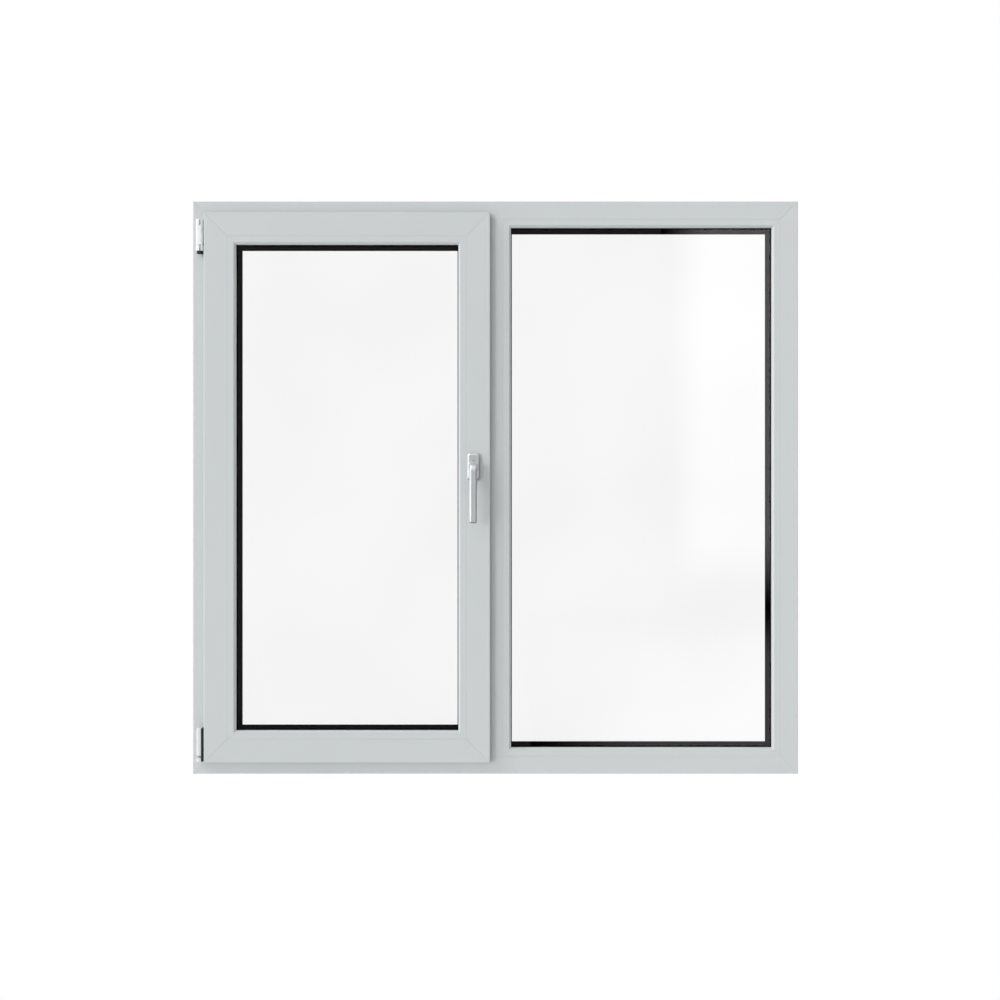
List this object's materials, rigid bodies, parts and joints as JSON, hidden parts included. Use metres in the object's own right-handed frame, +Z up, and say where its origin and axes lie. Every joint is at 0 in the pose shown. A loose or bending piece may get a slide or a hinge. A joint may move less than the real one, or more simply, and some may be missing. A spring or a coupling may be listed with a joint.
{
  "type": "pvc window",
  "caption": "Two-light PVC window with a hinged tilt-and-turn sash, a fixed light, a mullion, glazing beads, black gaskets, triple glazing, a lever handle and side hinges.",
  "frame": {"origin": "middle of the frame's bottom face, half way through its depth", "axes": "+X right as seen from the room, +Y outdoors, +Z up; the handle is on the -Y side"},
  "size_m": [1.48, 0.16, 1.4],
  "materials": {
    "pvc": "satin extruded PVC, pale cool grey",
    "float_glass": "clear polished float glass",
    "spacer": "black warm-edge spacer and edge sealant",
    "gasket_rubber": "black extruded rubber",
    "handle_metal": "satin silver",
    "hinge_cover": "pale silver-grey moulded cover",
    "hinge_dark": "black",
    "cap_plastic": "moulded, pale cool grey"
  },
  "bodies": {
    "root": {"bottom_hinge_bearing": "hinge_cover", "bottom_hinge_liner": "hinge_dark", "bottom_hinge_sash_knuckle": "hinge_cover", "drain_caps": "cap_plastic", "fixed_bead_bottom": "pvc", "fixed_bead_gasket": "gasket_rubber", "fixed_bead_left": "pvc", "fixed_bead_right": "pvc", "fixed_bead_top": "pvc", "fixed_edge_spacers": "spacer", "fixed_inner_pane": "float_glass", "fixed_middle_pane": "float_glass", "fixed_outer_gasket": "gasket_rubber", "fixed_outer_pane": "float_glass", "frame_head": "pvc", "frame_left_jamb": "pvc", "frame_rebate_seal": "gasket_rubber", "frame_right_jamb": "pvc", "frame_sill": "pvc", "handle_backplate": "handle_metal", "handle_collar": "handle_metal", "handle_lever": "handle_metal", "mullion": "pvc", "sash_bead_bottom": "pvc", "sash_bead_gasket": "gasket_rubber", "sash_bead_left": "pvc", "sash_bead_right": "pvc", "sash_bead_top": "pvc", "sash_bottom_rail": "pvc", "sash_edge_spacers": "spacer", "sash_hinge_stile": "pvc", "sash_inner_pane": "float_glass", "sash_lock_stile": "pvc", "sash_middle_pane": "float_glass", "sash_outer_gasket": "gasket_rubber", "sash_outer_pane": "float_glass", "sash_overlap_seal": "gasket_rubber", "sash_top_rail": "pvc", "top_hinge_bearing": "hinge_cover", "top_hinge_pin": "hinge_dark", "top_hinge_stay_knuckle": "hinge_cover"}
  },
  "joints": []
}
